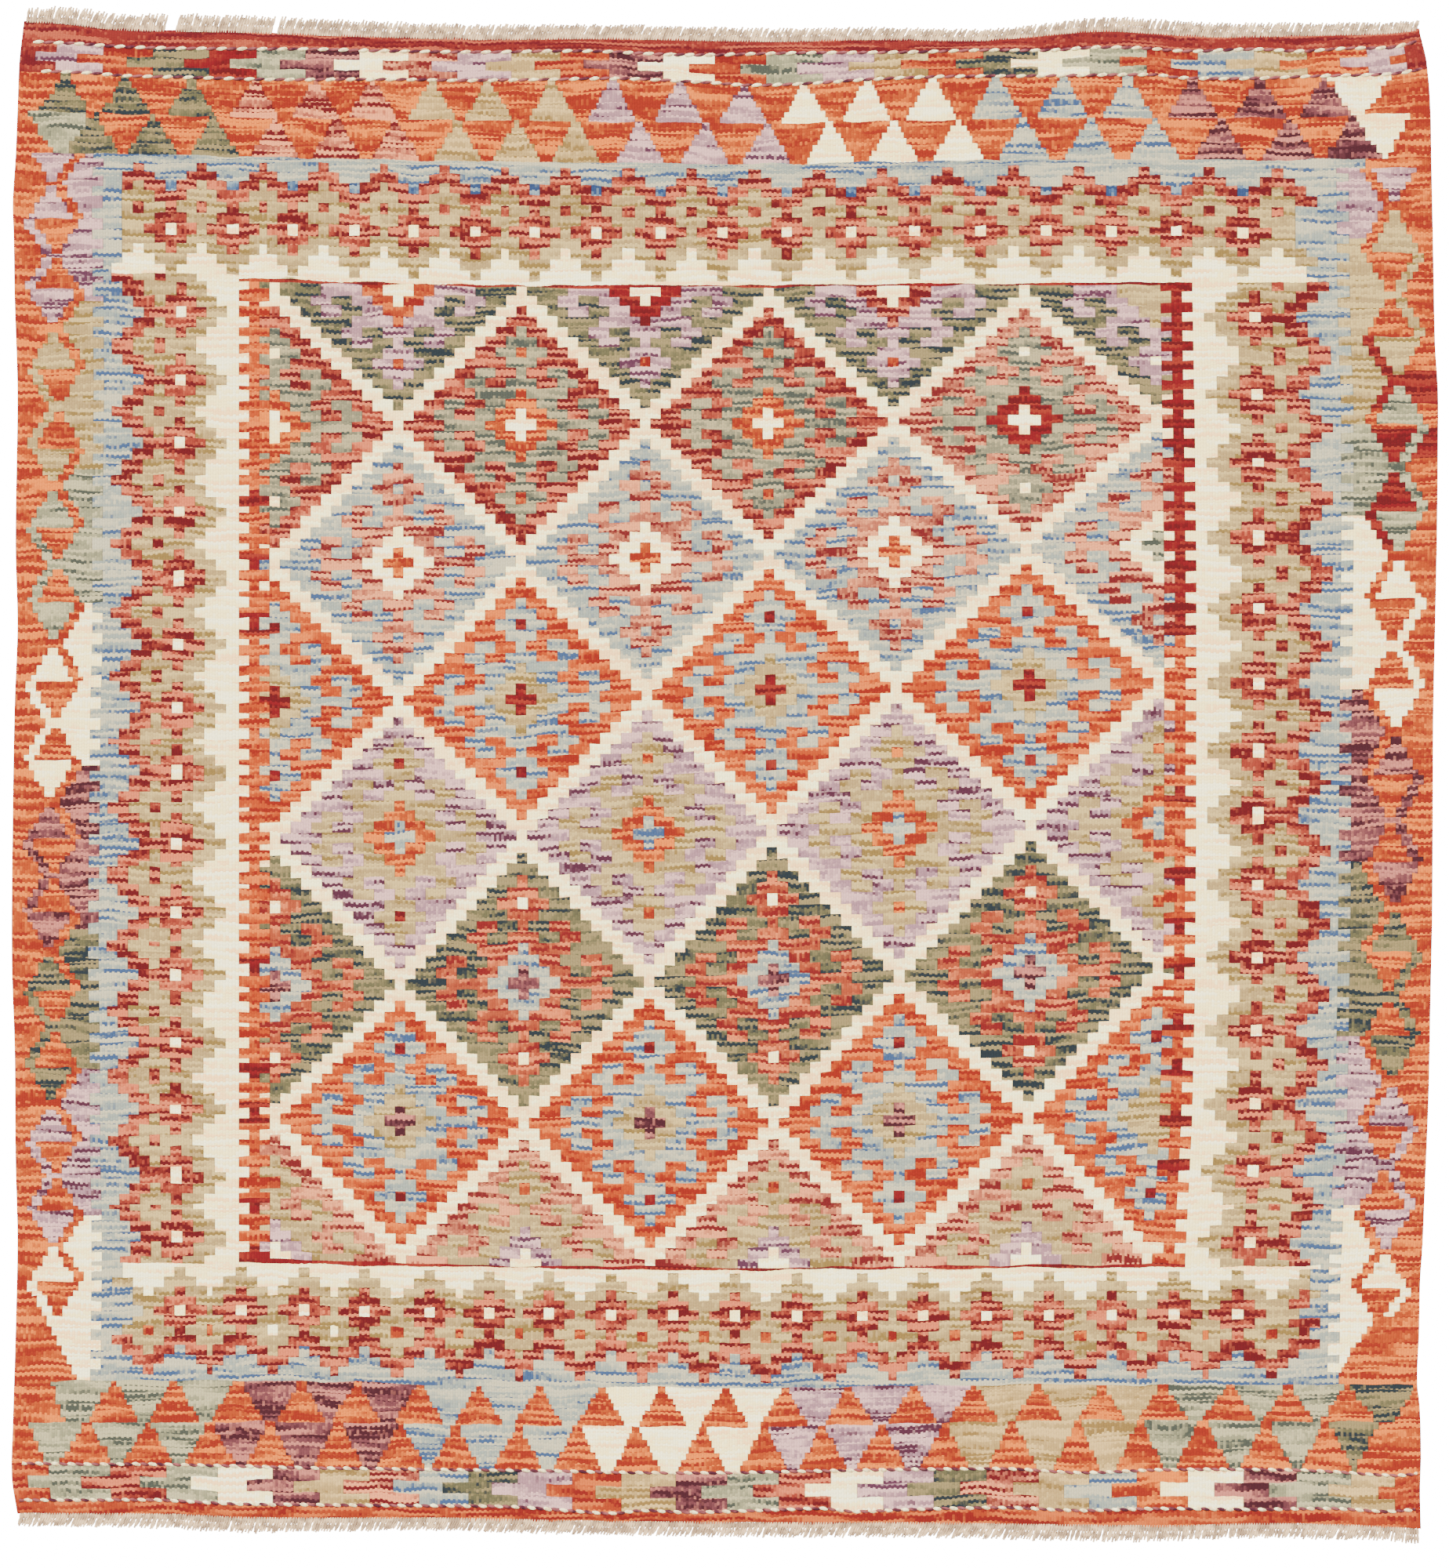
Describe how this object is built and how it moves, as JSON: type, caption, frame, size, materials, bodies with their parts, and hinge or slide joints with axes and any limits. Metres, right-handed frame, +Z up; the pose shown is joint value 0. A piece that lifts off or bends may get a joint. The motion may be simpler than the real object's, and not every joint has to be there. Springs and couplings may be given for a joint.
{
  "type": "kilim rug",
  "caption": "Flat-woven square kilim rug with a stepped diamond field, triangle borders, twined rows near both ends and short warp fringes, lying flat.",
  "frame": {"origin": "centre of the rug's underside, on the floor", "axes": "+Z up from the floor, +Y along the warps to the end with the deep red band, +X across the rug to the right when seen from above"},
  "size_m": [1.5105, 1.6381, 0.0045],
  "materials": {
    "wool_weft": "matt hand-spun wool weft, weft-faced over fine vertical warp ribs",
    "warp_fringe": "matt undyed greyish-beige plied warp ends"
  },
  "bodies": {
    "root": {"kilim_cloth": "wool_weft", "fringe_top": "warp_fringe", "fringe_bottom": "warp_fringe"}
  },
  "joints": []
}
